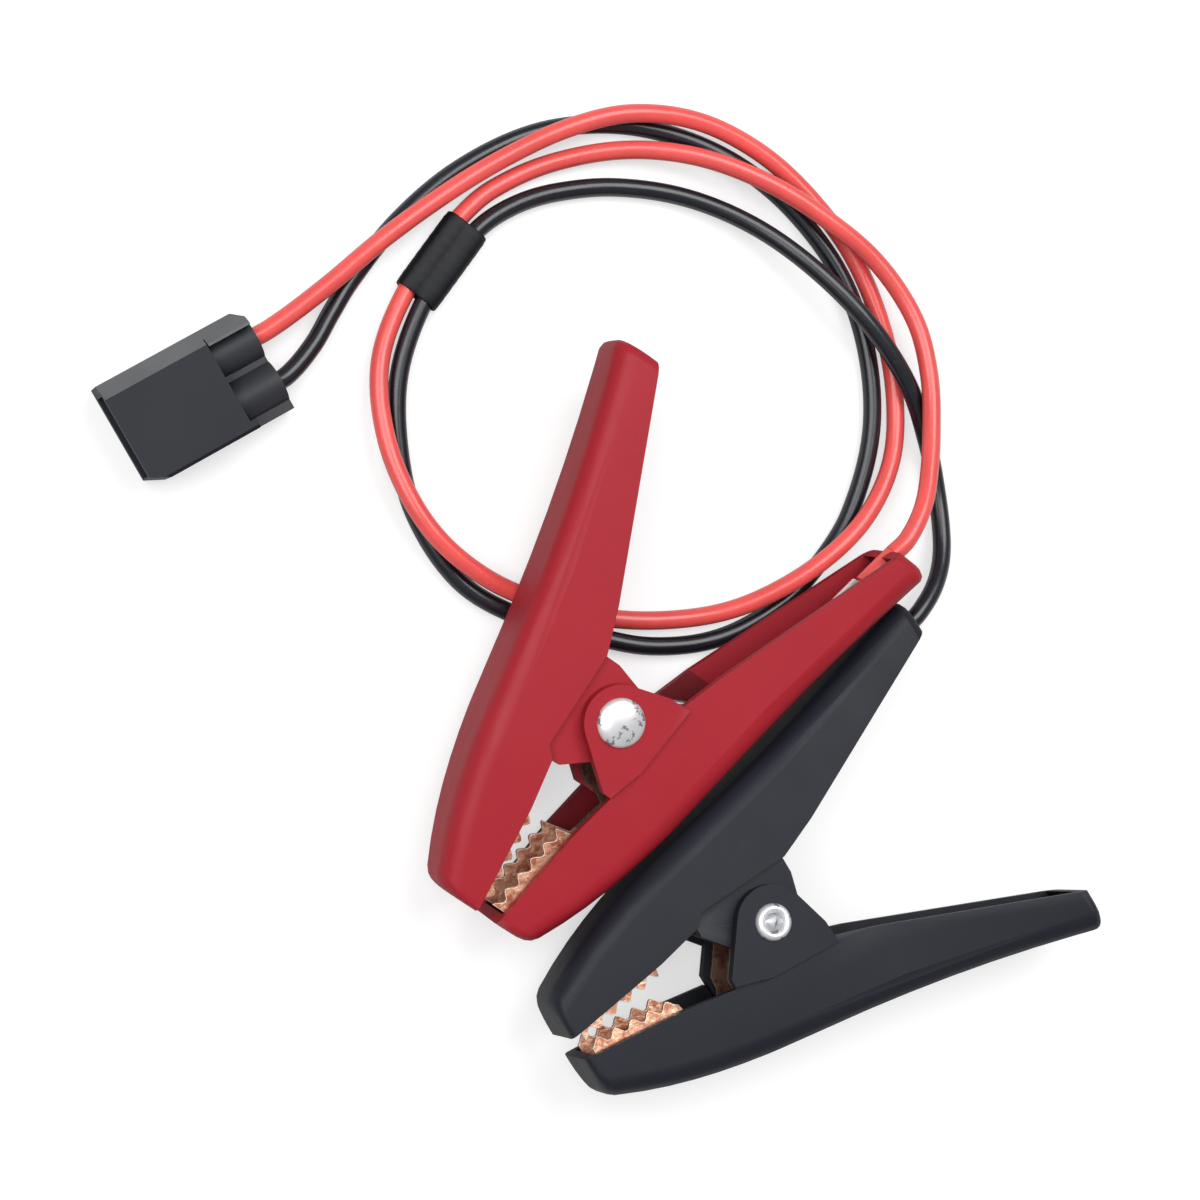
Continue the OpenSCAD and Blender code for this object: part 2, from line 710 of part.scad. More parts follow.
module plug_body() {
    difference() {
        rotate([90, 0, 90]) linear_extrude(plug_body_length)
            polygon([
                [-plug_width / 2, 0], [plug_width / 2, 0],
                [plug_width / 2, plug_height - plug_key], [plug_width / 2 - plug_key, plug_height],
                [-plug_width / 2 + 0.6, plug_height], [-plug_width / 2, plug_height - 0.6]
            ]);
        // Hollows in the top where the barrels come out
        for (y = [-barrel_offset, barrel_offset])
            translate([barrel_front, y - barrel_d / 2 + 0.2, barrel_z])
                cube([plug_body_length, barrel_d - 0.4, plug_height]);
        // Bevelled front corner opposite the key
        translate([0, -plug_width / 2, -1])
            linear_extrude(plug_height + 2)
            polygon([[-1, -1], [front_bevel, -1], [front_bevel, 0], [0, front_bevel / 2], [-1, front_bevel / 2]]);
    }
    // Rail beside the barrels on the key's side, with its back corner cut off
    intersection() {
        translate([plug_body_length - 1, 0, 0]) rotate([90, 0, 90])
            linear_extrude(rail_end - plug_body_length + 1)
            polygon([
                [rail_inner, 0], [plug_width / 2, 0], [plug_width / 2, plug_height - plug_key],
                [plug_width / 2 - plug_key, plug_height], [rail_inner, plug_height]
            ]);
        linear_extrude(plug_height + 1)
            polygon([
                [plug_body_length - 2, rail_inner - 1], [rail_end + 1, rail_inner - 1],
                [rail_end + 1, rail_inner + 0.8], [rail_end - 3, plug_width / 2 + 1],
                [plug_body_length - 2, plug_width / 2 + 1]
            ]);
    }
    // Ledge under the barrels
    linear_extrude(ledge_height)
        polygon([
            [plug_body_length - 1, -plug_width / 2], [plug_length, -plug_width / 2],
            [plug_length, rail_inner], [rail_end - 1.5, rail_inner + 1],
            [plug_body_length - 1, rail_inner + 1]
        ]);
    for (y = [-barrel_offset, barrel_offset])
        translate([barrel_front, y, barrel_z]) rotate([0, 90, 0])
            cylinder(d = barrel_d, h = plug_length - barrel_front);
}

module plug_housing() {
    color(black_plastic) lay_plug()
        difference() {
            plug_body();
            translate([-1, -mouth_width / 2, (plug_height - mouth_height) / 2])
                cube([mouth_depth + 1, mouth_width, mouth_height]);
            for (y = [-barrel_offset, barrel_offset])
                translate([mouth_depth - 1, y, barrel_z]) rotate([0, 90, 0])
                    cylinder(d = lead_d + 0.4, h = plug_length);
        }
}

// Flat blade in the mouth, with a round crimp that runs back into the barrel
module plug_contact(y) {
    color(bright_metal) lay_plug() {
        translate([2, y - blade_width / 2, barrel_z - blade_thickness / 2])
            cube([mouth_depth - 2.2, blade_width, blade_thickness]);
        translate([mouth_depth - 1.6, y, barrel_z]) rotate([0, 90, 0])
            cylinder(d = lead_d + 0.2, h = plug_length - mouth_depth - 1.5, $fn = 32);
    }
}

module plug_contact_red() { plug_contact(barrel_offset); }
module plug_contact_black() { plug_contact(-barrel_offset); }

red_lead_shell();
red_free_shell();
red_lead_contact();
red_free_contact();
red_pivot_rivet();
red_spacer_bush();
red_torsion_spring();
red_lead_contact_rivets();
red_free_contact_rivets();
red_ferrule();
red_lead_tail();
black_lead_shell();
black_free_shell();
black_lead_contact();
black_free_contact();
black_pivot_rivet();
black_spacer_bush();
black_torsion_spring();
black_lead_contact_rivets();
black_free_contact_rivets();
black_ferrule();
black_lead_tail();
red_lead();
black_lead();
cable_sleeve();
plug_housing();
plug_contact_red();
plug_contact_black();
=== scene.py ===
"""Battery clip lead: two insulated spring clamps, two leads, a sleeve and a two-pole plug."""

import logging
import math
from dataclasses import dataclass, field
from enum import Enum
from typing import Any, Iterable, Mapping

import bmesh
import bpy
from mathutils import Matrix, Vector
from mathutils.bvhtree import BVHTree


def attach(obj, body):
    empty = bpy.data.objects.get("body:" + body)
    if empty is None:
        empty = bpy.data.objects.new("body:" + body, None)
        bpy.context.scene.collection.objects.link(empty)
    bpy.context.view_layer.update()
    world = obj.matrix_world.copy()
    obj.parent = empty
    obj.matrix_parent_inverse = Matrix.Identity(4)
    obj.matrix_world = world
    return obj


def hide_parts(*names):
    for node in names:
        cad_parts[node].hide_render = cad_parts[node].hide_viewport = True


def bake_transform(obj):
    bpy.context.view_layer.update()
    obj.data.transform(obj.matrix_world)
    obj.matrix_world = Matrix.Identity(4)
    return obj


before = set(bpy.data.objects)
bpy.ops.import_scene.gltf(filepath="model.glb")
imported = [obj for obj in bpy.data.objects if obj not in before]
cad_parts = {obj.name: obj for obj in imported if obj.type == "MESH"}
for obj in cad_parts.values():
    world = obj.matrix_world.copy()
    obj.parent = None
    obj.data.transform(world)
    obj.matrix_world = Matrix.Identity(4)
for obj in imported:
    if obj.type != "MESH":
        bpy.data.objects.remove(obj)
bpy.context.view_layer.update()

LOG = logging.getLogger("clip_lead")
MM = 0.001
Point = tuple[float, float, float]
Colour = tuple[float, float, float]

# Middle of the two clamps as they lie, in millimetres: the origin of the frame
MIDDLE = (0.5, -1.1)

# Leads, and how the plug and the sleeve lie, in millimetres and degrees
LEAD_DIAMETER = 3.6
PLUG_PLACE = (-121.0, 50.0)
PLUG_TURN = 30.0
SLEEVE_PLACE = (-61.5, 84.5, 2.7)
SLEEVE_TURN = 54.0
SLEEVE_HALF_GAP = 2.0

# Where a lead leaves its clamp, in the clamp's own frame, and its direction there
EXIT_PLACE = (57.3, -31.049)
EXIT_ANGLE = -13.0

# Edges of more than this many degrees stay sharp or are rounded
SHARP = 34.0

# Attributes on the faces, each from 0 to 1: painted shade in recesses, painted highlight on marked
# faces and rims, and painted shade towards the pivot
HOLLOW_SHADE = "hollow"
PAINTED_HIGHLIGHT = "rim"
PIVOT_SHADE = "pivot_shade"


def linear(red: int, green: int, blue: int) -> Colour:
    """Turns screen values into the light values that shaders use.

    Args:
        red: the red part, from 0 to 255.
        green: the green part, from 0 to 255.
        blue: the blue part, from 0 to 255.

    Returns:
        The colour.
    """
    def one(value: int) -> float:
        """Turns one screen value into light."""
        share = value / 255.0
        return share / 12.92 if share <= 0.04045 else ((share + 0.055) / 1.055) ** 2.4
    return one(red), one(green), one(blue)


def tinted(colour: Colour, factor: float) -> Colour:
    """Makes a colour lighter or darker by a factor."""
    return tuple(min(1.0, part * factor) for part in colour)


# ---- Shader expressions -----------------------------------------------------------------


class Value:
    """A number that comes out of a shader node, with Python's arithmetic."""

    def __init__(self, surface: "Surface", socket: bpy.types.NodeSocket) -> None:
        """Keeps the surface that the node is in and the socket that carries the number."""
        self.surface = surface
        self.socket = socket

    def math(self, operation: str, other: "Value | float", swapped: bool = False) -> "Value":
        """Adds a Math node.

        Args:
            operation: the Math node's operation.
            other: the second number.
            swapped: whether the second number comes first.

        Returns:
            The node's result.
        """
        first, second = (other, self) if swapped else (self, other)
        node = self.surface.node("ShaderNodeMath", {"operation": operation}, {0: first, 1: second})
        return Value(self.surface, node.outputs[0])

    def __add__(self, other: "Value | float") -> "Value":
        """Returns the sum."""
        return self.math("ADD", other)

    __radd__ = __add__

    def __mul__(self, other: "Value | float") -> "Value":
        """Returns the product."""
        return self.math("MULTIPLY", other)

    __rmul__ = __mul__

    def __sub__(self, other: "Value | float") -> "Value":
        """Returns the difference."""
        return self.math("SUBTRACT", other)

    def __rsub__(self, other: float) -> "Value":
        """Returns the difference from a plain number."""
        return self.math("SUBTRACT", other, swapped=True)

    def ramp(self, low: float, high: float) -> "Value":
        """Stretches the part between two levels over 0 to 1, with soft ends.

        Args:
            low: the level that becomes 0.
            high: the level that becomes 1.

        Returns:
            The stretched number.
        """
        node = self.surface.node(
            "ShaderNodeMapRange",
            {"interpolation_type": "SMOOTHSTEP", "clamp": True},
            {"Value": self, "From Min": low, "From Max": high},
        )
        return Value(self.surface, node.outputs["Result"])


class Surface:
    """A material in the making, with one method that adds any node."""

    def __init__(self, name: str) -> None:
        """Makes an empty material with its output and its main shader.

        Args:
            name: the material's name.
        """
        self.material = bpy.data.materials.new(name)
        self.material.use_nodes = True
        self.tree = self.material.node_tree
        self.tree.nodes.clear()
        self.output = self.tree.nodes.new("ShaderNodeOutputMaterial")
        self.shader = self.tree.nodes.new("ShaderNodeBsdfPrincipled")
        self.tree.links.new(self.shader.outputs[0], self.output.inputs["Surface"])
        self.coords = self.node("ShaderNodeTexCoord").outputs["Object"]

    def node(
        self,
        kind: str,
        settings: Mapping[str, Any] | None = None,
        inputs: Mapping[str | int, Any] | None = None,
    ) -> bpy.types.Node:
        """Adds a node.

        Args:
            kind: the node's type.
            settings: its properties, set first.
            inputs: what each socket takes, a plain value or a link.

        Returns:
            The new node.
        """
        node = self.tree.nodes.new(kind)
        for name, value in (settings or {}).items():
            setattr(node, name, value)
        for name, value in (inputs or {}).items():
            self.feed(node.inputs[name], value)
        return node

    def feed(self, socket: bpy.types.NodeSocket, value: Any) -> None:
        """Links a value to a socket, or sets the socket's own value.

        Args:
            socket: the socket that takes it.
            value: a link, a number or a colour.
        """
        if isinstance(value, Value):
            self.tree.links.new(value.socket, socket)
        elif isinstance(value, bpy.types.NodeSocket):
            self.tree.links.new(value, socket)
        elif isinstance(value, tuple) and socket.type == "RGBA" and len(value) == 3:
            socket.default_value = (*value, 1.0)
        else:
            socket.default_value = value

    def noise(
        self,
        scale: float,
        detail: float = 2.0,
        stretch: Point = (1.0, 1.0, 1.0),
        roughness: float = 0.5,
    ) -> Value:
        """Adds a noise of so many lumps to a metre.

        Args:
            scale: lumps to a metre.
            detail: octaves of finer noise.
            stretch: factor on each axis before the noise.
            roughness: strength of the finer octaves.

        Returns:
            The noise, from 0 to 1.
        """
        place = self.node("ShaderNodeMapping", None, {"Vector": self.coords, "Scale": stretch})
        node = self.node(
            "ShaderNodeTexNoise",
            None,
            {"Vector": place.outputs[0], "Scale": scale, "Detail": detail, "Roughness": roughness},
        )
        return Value(self, node.outputs["Fac"])

    def attribute(self, name: str) -> Value:
        """Returns a number that is stored on the mesh."""
        node = self.node("ShaderNodeAttribute", {"attribute_name": name})
        return Value(self, node.outputs["Fac"])

    def mix(self, factor: Value | float, first: Any, second: Any) -> bpy.types.NodeSocket:
        """Mixes two colours.

        Args:
            factor: share of the second colour.
            first: the first colour or its link.
            second: the second colour or its link.

        Returns:
            The link of the mixed colour.
        """
        node = self.node(
            "ShaderNodeMix", {"data_type": "RGBA"}, {0: factor, 6: first, 7: second}
        )
        return node.outputs[2]

    def bump(self, height: Value, strength: float, distance: float) -> bpy.types.NodeSocket:
        """Turns a height into a normal.

        Args:
            height: the height, from 0 to 1.
            strength: how much of it shows.
            distance: the full height in metres.

        Returns:
            The link of the normal.
        """
        node = self.node(
            "ShaderNodeBump", None, {"Height": height, "Strength": strength, "Distance": distance}
        )
        return node.outputs[0]

    def dress(self, **sockets: Any) -> bpy.types.Material:
        """Feeds the main shader; an underscore in a name stands for a space.

        Returns:
            The finished material.
        """
        for name, value in sockets.items():
            self.feed(self.shader.inputs[name.replace("_", " ")], value)
        return self.material


# ---- Finishes ---------------------------------------------------------------------------


@dataclass(frozen=True)
class MouldedPlastic:
    """Matt moulded plastic with a fine spark-eroded grain, light handling marks, paler edges that
    are wear and painted highlight, painted shade in its recesses and a painted highlight on marked
    faces.
    """

    name: str
    colour: Colour
    roughness: float = 0.5
    grain: float = 0.16

    def build(self) -> bpy.types.Material:
        """Makes the material.

        Returns:
            The finished material.
        """
        s = Surface(self.name)
        cloud = s.noise(70.0, 3.0)
        grain = s.noise(3400.0, 2.0)
        flow = s.noise(120.0, 2.0, (1.0, 1.0, 4.0))
        rub = s.noise(420.0, 4.0, (1.0, 0.35, 1.0), 0.65).ramp(0.62, 0.76) * cloud.ramp(0.42, 0.62)
        body = s.mix(cloud, tinted(self.colour, 0.93), tinted(self.colour, 1.07))
        speckled = s.mix(grain.ramp(0.35, 0.75) * 0.35, body, tinted(self.colour, 1.22))
        brightened = s.mix(rub * 0.22, speckled, tinted(self.colour, 1.6))
        # paler convex edges: partly wear, partly a painted highlight along the edges
        point = Value(s, s.node("ShaderNodeNewGeometry").outputs["Pointiness"])
        edge = point.ramp(0.57, 0.68) * (0.35 + cloud * 0.65)
        edge_lit = s.mix(edge * 0.35, brightened, self.edge_highlight_colour())
        # painted highlight on marked faces, such as the plug's key strip and barrels
        highlighted = s.mix(s.attribute(PAINTED_HIGHLIGHT) * (0.6 + cloud * 0.6), edge_lit, self.highlight_colour())
        # painted shade: faces that look into the moulding's own recesses are darkened
        shaded = s.mix(
            s.attribute(HOLLOW_SHADE).ramp(0.45, 0.9) * 0.8, highlighted, tinted(self.colour, 0.22)
        )
        return s.dress(
            Base_Color=shaded,
            Roughness=self.roughness + (flow - 0.5) * 0.14 - rub * 0.12,
            Specular_IOR_Level=0.3,
            Normal=s.bump(grain * 0.7 + flow * 0.3, self.grain, 0.00012),
        )

    def edge_highlight_colour(self) -> Colour:
        """Returns the paler colour of the edges: wear and painted highlight together."""
        return tuple(part + 0.16 * (0.9 - part) for part in tinted(self.colour, 1.35))

    def highlight_colour(self) -> Colour:
        """Returns the paler grey that is painted on marked faces as a highlight."""
        return tuple(part + 0.12 for part in self.colour)


@dataclass(frozen=True)
class Silicone:
    """Smooth lead insulation with a soft sheen and a faint bloom."""

    name: str
    colour: Colour
    bloom: Colour
    roughness: float = 0.3

    def build(self) -> bpy.types.Material:
        """Makes the material.

        Returns:
            The finished material.
        """
        s = Surface(self.name)
        patch = s.noise(90.0, 3.0)
        dust = s.noise(1500.0, 3.0).ramp(0.55, 0.8)
        base = s.mix(patch.ramp(0.35, 0.7), tinted(self.colour, 0.92), tinted(self.colour, 1.05))
        dusty = s.mix(dust * 0.12, base, self.bloom)
        return s.dress(
            Base_Color=dusty,
            Roughness=self.roughness + (patch - 0.5) * 0.16 + dust * 0.12,
            Subsurface_Weight=0.04,
            Subsurface_Scale=0.001,
            Coat_Weight=0.4,
            Coat_Roughness=0.18,
            Normal=s.bump(s.noise(600.0, 3.0), 0.12, 0.00015),
        )


@dataclass(frozen=True)
class CopperSheet:
    """Pressed copper-plated sheet with tarnish, fine rolling lines, a painted highlight on its
    rims and painted shade towards the pivot.
    """

    name: str
    bright: Colour
    dull: Colour
    # pale cream painted on the rims as a highlight
    brightened: Colour

    def build(self) -> bpy.types.Material:
        """Makes the material.

        Returns:
            The finished material.
        """
        s = Surface(self.name)
        stain = s.noise(230.0, 4.0, roughness=0.6)
        rolled = s.noise(900.0, 2.0, (1.0, 1.0, 0.12))
        spots = s.noise(1300.0, 3.0).ramp(0.6, 0.78)
        dents = s.noise(560.0, 3.0, roughness=0.6)
        tarnish = stain.ramp(0.4, 0.6) * 0.4 + dents.ramp(0.44, 0.58) * 0.6
        base = s.mix(tarnish, self.bright, self.dull)
        spotted = s.mix(spots * 0.5, base, tinted(self.dull, 0.4))
        # painted highlight: the bevelled rims turn pale cream and less metallic
        rim = s.attribute(PAINTED_HIGHLIGHT)
        # painted shade: towards the pivot the channel darkens to near black and gets rougher
        pivot_shade = s.attribute(PIVOT_SHADE)
        rim_lit = s.mix(rim * 0.95, spotted, self.brightened)
        pivot_shaded = s.mix(pivot_shade * 0.85, rim_lit, tinted(self.dull, 0.06))
        return s.dress(
            Base_Color=pivot_shaded,
            Metallic=0.62 - spots * 0.2 - rim * 0.42,
            Roughness=0.3 + dents.ramp(0.3, 0.7) * 0.2 + (rolled - 0.5) * 0.12 + pivot_shade * 0.2,
            Normal=s.bump(rolled * 0.3 + dents * 0.7, 0.6, 0.0005),
        )


@dataclass(frozen=True)
class PlatedMetal:
    """Nickel plate with faint pits and, where it is wire or turned, fine lines; tarnish adds dark
    bluish blotches that are tarnish and a painted dark reflection.
    """

    name: str
    colour: Colour
    roughness: float = 0.16
    lines: float = 0.1
    # strength of the dark bluish blotches: tarnish and a painted dark reflection
    tarnish: float = 0.0
    metallic: float = 1.0

    def build(self) -> bpy.types.Material:
        """Makes the material.

        Returns:
            The finished material.
        """
        s = Surface(self.name)
        haze = s.noise(350.0, 3.0)
        pits = s.noise(2600.0, 2.0).ramp(0.66, 0.8)
        fine = s.noise(5200.0, 1.0, (1.0, 0.2, 1.0))
        base = s.mix(haze.ramp(0.3, 0.75), self.colour, tinted(self.colour, 0.86))
        pitted = s.mix(pits * 0.5, base, tinted(self.colour, 0.5))
        # dark bluish blotches: partly tarnish, partly a painted dark reflection
        stain = s.noise(360.0, 4.0, roughness=0.62).ramp(0.56, 0.61) * self.tarnish
        blotched = s.mix(stain, pitted, (0.10, 0.12, 0.15))
        return s.dress(
            Base_Color=blotched,
            Metallic=self.metallic,
            Roughness=self.roughness + haze * 0.1 + pits * 0.15,
            Normal=s.bump(fine * self.lines + haze * 0.3 - pits * 0.4, 0.15, 0.0001),
        )


@dataclass(frozen=True)
class ShrunkRubber:
    """Shrunk sleeve: satin, with fine rings where it was drawn in."""

    name: str
    colour: Colour

    def build(self) -> bpy.types.Material:
        """Makes the material.

        Returns:
            The finished material.
        """
        s = Surface(self.name)
        soft = s.noise(260.0, 3.0)
        fine = s.noise(2400.0, 2.0)
        base = s.mix(soft.ramp(0.3, 0.7), tinted(self.colour, 0.8), tinted(self.colour, 1.5))
        return s.dress(
            Base_Color=base,
            Roughness=0.5 + (soft - 0.5) * 0.2,
            Specular_IOR_Level=0.28,
            Normal=s.bump(soft * 0.7 + fine * 0.3, 0.3, 0.00025),
        )


class Finish(Enum):
    """The finishes of the clip lead; each value is the finish's recipe."""

    RED_PLASTIC = MouldedPlastic("red_moulding", linear(160, 28, 41))
    BLACK_PLASTIC = MouldedPlastic("black_moulding", linear(25, 28, 37), 0.5)
    PLUG_PLASTIC = MouldedPlastic("plug_moulding", linear(20, 24, 33), 0.48, 0.12)
    RED_SILICONE = Silicone("red_insulation", linear(236, 86, 82), linear(255, 154, 146))
    BLACK_SILICONE = Silicone("black_insulation", linear(17, 21, 30), linear(66, 74, 90))
    # the last colour is the pale cream of the painted highlight on the rims
    COPPER = CopperSheet(
        "copper_sheet", linear(252, 200, 166), linear(170, 94, 68), linear(255, 240, 222)
    )
    NICKEL = PlatedMetal("nickel_plate", linear(240, 240, 242))
    # the rivet's tarnish of 0.75 gives its dome dark bluish blotches: tarnish and a painted dark
    # reflection
    RIVET = PlatedMetal("rivet_plate", linear(250, 250, 252), 0.27, 0.1, 0.75, 0.6)
    SPRING_STEEL = PlatedMetal("spring_wire", linear(176, 178, 182), 0.3, 0.5)
    STRAND = PlatedMetal("tinned_strand", linear(214, 206, 196), 0.36, 0.8)
    SLEEVE = ShrunkRubber("shrunk_sleeve", linear(13, 15, 20))

    def material(self) -> bpy.types.Material:
        """Returns the finish's material, made the first time that it is asked for."""
        return bpy.data.materials.get(self.value.name) or self.value.build()


# ---- Mesh helpers -----------------------------------------------------------------------


@dataclass(frozen=True)
class Lie:
    """How a piece lies: its place in millimetres and its turns in degrees."""

    place: Point
    turn: float
    pitch: float = 0.0
    roll: float = 0.0

    def matrix(self) -> Matrix:
        """Works out how the piece's own millimetres become the frame's metres.

        Returns:
            The matrix.
        """
        centred = Vector((self.place[0] - MIDDLE[0], self.place[1] - MIDDLE[1], self.place[2]))
        return (
            Matrix.Translation(centred * MM)
            @ Matrix.Rotation(math.radians(self.turn), 4, "Z")
            @ Matrix.Rotation(math.radians(self.pitch), 4, "Y")
            @ Matrix.Rotation(math.radians(self.roll), 4, "X")
            @ Matrix.Scale(MM, 4)
        )

    def point(self, x: float, y: float, z: float) -> Vector:
        """Returns a point of the piece in the frame, in metres."""
        return self.matrix() @ Vector((x, y, z))


def to_frame(point: Point) -> Vector:
    """Turns a point as it lies, in millimetres, into the frame's metres."""
    return Vector((point[0] - MIDDLE[0], point[1] - MIDDLE[1], point[2])) * MM


def add_piece(
    name: str, bm: bmesh.types.BMesh, finish: Finish, matrix: Matrix | None = None,
    crease: float = SHARP,
) -> bpy.types.Object:
    """Turns a bmesh into a piece of the scene.

    Args:
        name: the piece's name.
        bm: its shape; it is freed here.
        finish: its finish.
        matrix: where the shape goes; None keeps it.
        crease: angle in degrees over which an edge stays sharp.

    Returns:
        The new object, at the origin.
    """
    if matrix is not None:
        bmesh.ops.transform(bm, matrix=matrix, verts=bm.verts)
        bmesh.ops.recalc_face_normals(bm, faces=bm.faces)
    for face in bm.faces:
        face.smooth = True
    mesh = bpy.data.meshes.new(name)
    bm.to_mesh(mesh)
    bm.free()
    mesh.set_sharp_from_angle(angle=math.radians(crease))
    mesh.materials.append(finish.material())
    piece = bpy.data.objects.new(name, mesh)
    bpy.context.scene.collection.objects.link(piece)
    LOG.info("%s: %d faces", name, len(mesh.polygons))
    return piece


def merged(node: str) -> bmesh.types.BMesh:
    """Copies a node's solid as a clean mesh, with its flat parts as single faces.

    Args:
        node: the node.

    Returns:
        The copy.
    """
    bm = bmesh.new()
    bm.from_mesh(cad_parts[node].data)
    bmesh.ops.remove_doubles(bm, verts=bm.verts, dist=0.002 * MM)
    bmesh.ops.dissolve_limit(
        bm, angle_limit=math.radians(0.8), use_dissolve_boundaries=False,
        verts=bm.verts, edges=bm.edges, delimit={"NORMAL"},
    )
    return bm


def softened(
    node: str, name: str, finish: Finish, width: float, segments: int = 2, angle: float = SHARP
) -> bpy.types.Object:
    """Makes a piece from a node's solid, with its sharp edges rounded.

    Args:
        node: the node that the piece stands for.
        name: the piece's name.
        finish: its finish.
        width: width of the rounding in millimetres.
        segments: faces across the rounding.
        angle: edges sharper than this are rounded, in degrees.

    Returns:
        The new piece.
    """
    piece = add_piece(name, merged(node), finish, crease=angle)
    bevel = piece.modifiers.new("rounded_edges", "BEVEL")
    bevel.width = width * MM
    bevel.segments = segments
    bevel.limit_method = "ANGLE"
    bevel.angle_limit = math.radians(angle)
    bevel.profile = 0.5
    even_out(piece)
    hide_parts(node)
    return piece


def even_out(piece: bpy.types.Object) -> None:
    """Keeps the shading of large flat faces flat.

    Args:
        piece: the piece that gets the modifier.
    """
    weighted = piece.modifiers.new("even_shading", "WEIGHTED_NORMAL")
    weighted.weight = 50
    weighted.keep_sharp = True


def bake_hollow_shade(piece: bpy.types.Object, reach: float = 22.0, rays: int = 24) -> None:
    """Stores on each face how much of its own piece it faces within a reach: the strength of the
    painted shade in the moulding's recesses.

    Args:
        piece: the moulding.
        reach: length of the rays in millimetres.
        rays: rays from each face, spread as a spiral over its half of the sphere.
    """
    mesh = piece.data
    tree = BVHTree.FromPolygons(
        [vert.co for vert in mesh.vertices], [face.vertices for face in mesh.polygons]
    )
    step, lift, full = 2.4, 0.05 * MM, 0.8
    spread = [
        (math.sqrt(1 - h * h) * math.cos(step * i), math.sqrt(1 - h * h) * math.sin(step * i), h)
        for i in range(rays) for h in [(i + 0.5) / rays]
    ]
    marks = mesh.attributes.new(HOLLOW_SHADE, "FLOAT", "FACE")
    for face, mark in zip(mesh.polygons, marks.data):
        turned = face.normal.to_track_quat("Z", "Y").to_matrix()
        start = face.center + face.normal * lift
        hits = sum(
            tree.ray_cast(start, turned @ Vector(ray), reach * MM)[0] is not None
            for ray in spread
        )
        mark.value = min(1.0, hits / (full * rays))


def spun(profile: Iterable[tuple[float, float]], steps: int = 48) -> bmesh.types.BMesh:
    """Spins a closed profile round Z.

    Args:
        profile: points as radius and height in millimetres, in order.
        steps: steps of the full turn.

    Returns:
        The turned shape.
    """
    bm = bmesh.new()
    ring = [bm.verts.new((radius, 0.0, height)) for radius, height in profile]
    edges = [bm.edges.new(pair) for pair in zip(ring, ring[1:])]
    bmesh.ops.spin(
        bm, geom=ring + edges, cent=(0, 0, 0), axis=(0, 0, 1), dvec=(0, 0, 0),
        angle=math.tau, steps=steps, use_merge=True, use_duplicate=False,
    )
    bmesh.ops.remove_doubles(bm, verts=bm.verts, dist=0.001)
    bmesh.ops.recalc_face_normals(bm, faces=bm.faces)
    return bm


def arc(
    centre: tuple[float, float], radius: float, start: float, end: float, steps: int
) -> list[tuple[float, float]]:
    """Places points on an arc.

    Args:
        centre: the arc's centre.
        radius: its radius.
        start: its first angle in degrees.
        end: its last angle in degrees.
        steps: steps between the points.

    Returns:
        The points, one more than the steps.
    """
    return [
        (centre[0] + radius * math.cos(a), centre[1] + radius * math.sin(a))
        for a in (math.radians(start + (end - start) * i / steps) for i in range(steps + 1))
    ]


# ---- Leads, sleeve and plug -------------------------------------------------------------


@dataclass
class Lead:
    """One lead, from the plug to its clamp."""

    colour: str
    finish: Finish
    route: list[Point]
    diameter: float = LEAD_DIAMETER

    def build(self) -> bpy.types.Object:
        """Makes the lead as one smooth round curve through its route.

        Returns:
            The curve's object.
        """
        curve = bpy.data.curves.new(f"{self.colour}_lead_run", "CURVE")
        curve.dimensions = "3D"
        curve.bevel_depth = self.diameter / 2 * MM
        curve.bevel_resolution = 6
        curve.resolution_u = 8
        curve.use_fill_caps = True
        curve.materials.append(self.finish.material())
        spline = curve.splines.new("BEZIER")
        spline.bezier_points.add(len(self.route) - 1)
        places = [to_frame(point) for point in self.route]
        for index, (knot, place) in enumerate(zip(spline.bezier_points, places)):
            before = places[max(index - 1, 0)]
            after = places[min(index + 1, len(places) - 1)]
            along = (after - before).normalized()
            knot.co = place
            knot.handle_left_type = knot.handle_right_type = "FREE"
            knot.handle_left = place - along * (place - before).length / 3
            knot.handle_right = place + along * (after - place).length / 3
        piece = bpy.data.objects.new(f"{self.colour}_lead_run", curve)
        bpy.context.scene.collection.objects.link(piece)
        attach(piece, "lead_set")
        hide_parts(f"{self.colour}_lead")
        LOG.info("%s: %d points", piece.name, len(places))
        return piece

    def length(self) -> float:
        """Returns the length of the route in metres."""
        places = [Vector(point) for point in self.route]
        return sum((b - a).length for a, b in zip(places, places[1:])) * MM


